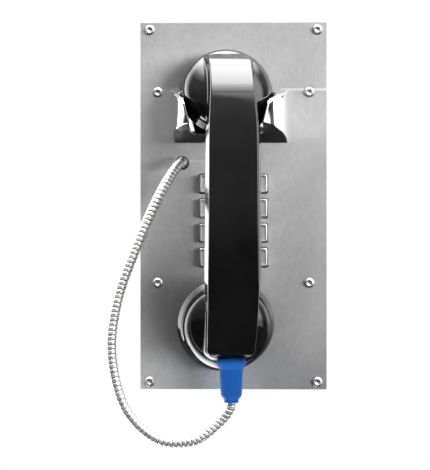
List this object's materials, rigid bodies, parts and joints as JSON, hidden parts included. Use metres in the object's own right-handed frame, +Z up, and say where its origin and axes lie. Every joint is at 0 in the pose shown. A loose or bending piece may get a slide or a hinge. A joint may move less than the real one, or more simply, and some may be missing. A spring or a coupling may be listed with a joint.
{
  "type": "wall telephone",
  "caption": "Flush stainless wall telephone: chrome cradle, square metal keypad and a black handset on an armoured cord.",
  "frame": {"origin": "on the back face of the steel plate, midway between its two upper mounting holes", "axes": "+X to the user's right, +Y into the wall, +Z up; the user stands at -Y"},
  "size_m": [0.147, 0.1193, 0.2857],
  "materials": {
    "brushed_steel": "vertically brushed stainless steel",
    "chrome": "polished chrome plate",
    "zinc_plate": "zinc-plated steel",
    "black_plastic": "gloss black polycarbonate",
    "blue_rubber": "satin blue rubber",
    "grey_silicone": "matt silicone",
    "green_laminate": "solder-masked glass-fibre board",
    "dark_component": "moulded component case",
    "green_connector": "moulded terminal housing"
  },
  "bodies": {
    "panel": {"face_plate": "brushed_steel", "cradle": "chrome", "cradle_screw_left": "zinc_plate", "cradle_screw_right": "zinc_plate", "cord_bushing": "black_plastic", "cord_collar": "zinc_plate", "cord_lead": "dark_component", "armored_cord": "brushed_steel", "keypad_frame": "black_plastic", "keypad_membrane": "grey_silicone", "keypad_board": "green_laminate", "keypad_header": "dark_component", "keypad_ribbon": "dark_component", "lever_bracket": "zinc_plate", "lever_pin": "zinc_plate", "lever_spring": "zinc_plate", "hook_switch": "dark_component", "main_board": "green_laminate", "line_transformer": "dark_component", "terminal_block": "green_connector", "mounting_screw_top_left": "chrome", "mounting_screw_top_right": "chrome", "mounting_screw_bottom_left": "chrome", "mounting_screw_bottom_right": "chrome", "panel_screw_top_left": "chrome", "panel_screw_top_right": "chrome", "panel_screw_bottom_left": "chrome", "panel_screw_bottom_right": "chrome", "standoff_top_left": "zinc_plate", "standoff_top_right": "zinc_plate", "standoff_bottom_left": "zinc_plate", "standoff_bottom_right": "zinc_plate", "board_screw_top_left": "zinc_plate", "board_screw_top_right": "zinc_plate", "board_screw_bottom_left": "zinc_plate", "board_screw_bottom_right": "zinc_plate", "keypad_nut_top_left": "zinc_plate", "keypad_nut_top_right": "zinc_plate", "keypad_nut_bottom_left": "zinc_plate", "keypad_nut_bottom_right": "zinc_plate"},
    "handset": {"handset_body": "black_plastic", "ear_cap": "black_plastic", "mouth_cap": "black_plastic", "receiver_capsule": "zinc_plate", "transmitter_capsule": "zinc_plate", "cord_boot": "blue_rubber"},
    "hook_lever": {"hook_lever": "black_plastic"},
    "switch_plunger": {"switch_plunger": "grey_silicone"},
    "key_1": {"key_1": "chrome"},
    "key_2": {"key_2": "chrome"},
    "key_3": {"key_3": "chrome"},
    "key_4": {"key_4": "chrome"},
    "key_5": {"key_5": "chrome"},
    "key_6": {"key_6": "chrome"},
    "key_7": {"key_7": "chrome"},
    "key_8": {"key_8": "chrome"},
    "key_9": {"key_9": "chrome"},
    "key_star": {"key_star": "chrome"},
    "key_0": {"key_0": "chrome"},
    "key_hash": {"key_hash": "chrome"}
  },
  "joints": [
    {"name": "handset_lift", "type": "slide", "parent": "panel", "child": "handset", "axis": [0, -0.6428, 0.766], "range_m": [0, 0.1], "deforming": ["armored_cord"]},
    {"name": "hook_hinge", "type": "hinge", "parent": "panel", "child": "hook_lever", "pos_m": [-0.0022, 0.009, -0.07], "axis": [1, 0, 0], "range_deg": [0, 12], "deforming": ["lever_spring"]},
    {"name": "plunger_slide", "type": "slide", "parent": "panel", "child": "switch_plunger", "axis": [0, 1, 0], "range_m": [0, 0.0022]},
    {"name": "key_1_press", "type": "slide", "parent": "panel", "child": "key_1", "axis": [0, 1, 0], "range_m": [0, 0.0012], "stiffness_N_per_m": 80},
    {"name": "key_2_press", "type": "slide", "parent": "panel", "child": "key_2", "axis": [0, 1, 0], "range_m": [0, 0.0012], "stiffness_N_per_m": 80},
    {"name": "key_3_press", "type": "slide", "parent": "panel", "child": "key_3", "axis": [0, 1, 0], "range_m": [0, 0.0012], "stiffness_N_per_m": 80},
    {"name": "key_4_press", "type": "slide", "parent": "panel", "child": "key_4", "axis": [0, 1, 0], "range_m": [0, 0.0012], "stiffness_N_per_m": 80},
    {"name": "key_5_press", "type": "slide", "parent": "panel", "child": "key_5", "axis": [0, 1, 0], "range_m": [0, 0.0012], "stiffness_N_per_m": 80},
    {"name": "key_6_press", "type": "slide", "parent": "panel", "child": "key_6", "axis": [0, 1, 0], "range_m": [0, 0.0012], "stiffness_N_per_m": 80},
    {"name": "key_7_press", "type": "slide", "parent": "panel", "child": "key_7", "axis": [0, 1, 0], "range_m": [0, 0.0012], "stiffness_N_per_m": 80},
    {"name": "key_8_press", "type": "slide", "parent": "panel", "child": "key_8", "axis": [0, 1, 0], "range_m": [0, 0.0012], "stiffness_N_per_m": 80},
    {"name": "key_9_press", "type": "slide", "parent": "panel", "child": "key_9", "axis": [0, 1, 0], "range_m": [0, 0.0012], "stiffness_N_per_m": 80},
    {"name": "key_star_press", "type": "slide", "parent": "panel", "child": "key_star", "axis": [0, 1, 0], "range_m": [0, 0.0012], "stiffness_N_per_m": 80},
    {"name": "key_0_press", "type": "slide", "parent": "panel", "child": "key_0", "axis": [0, 1, 0], "range_m": [0, 0.0012], "stiffness_N_per_m": 80},
    {"name": "key_hash_press", "type": "slide", "parent": "panel", "child": "key_hash", "axis": [0, 1, 0], "range_m": [0, 0.0012], "stiffness_N_per_m": 80}
  ],
  "couplings": [
    {"joint": "hook_hinge", "follows": "handset_lift", "rad_per_m": 2.09},
    {"joint": "plunger_slide", "follows": "handset_lift", "ratio": 0.0215}
  ]
}
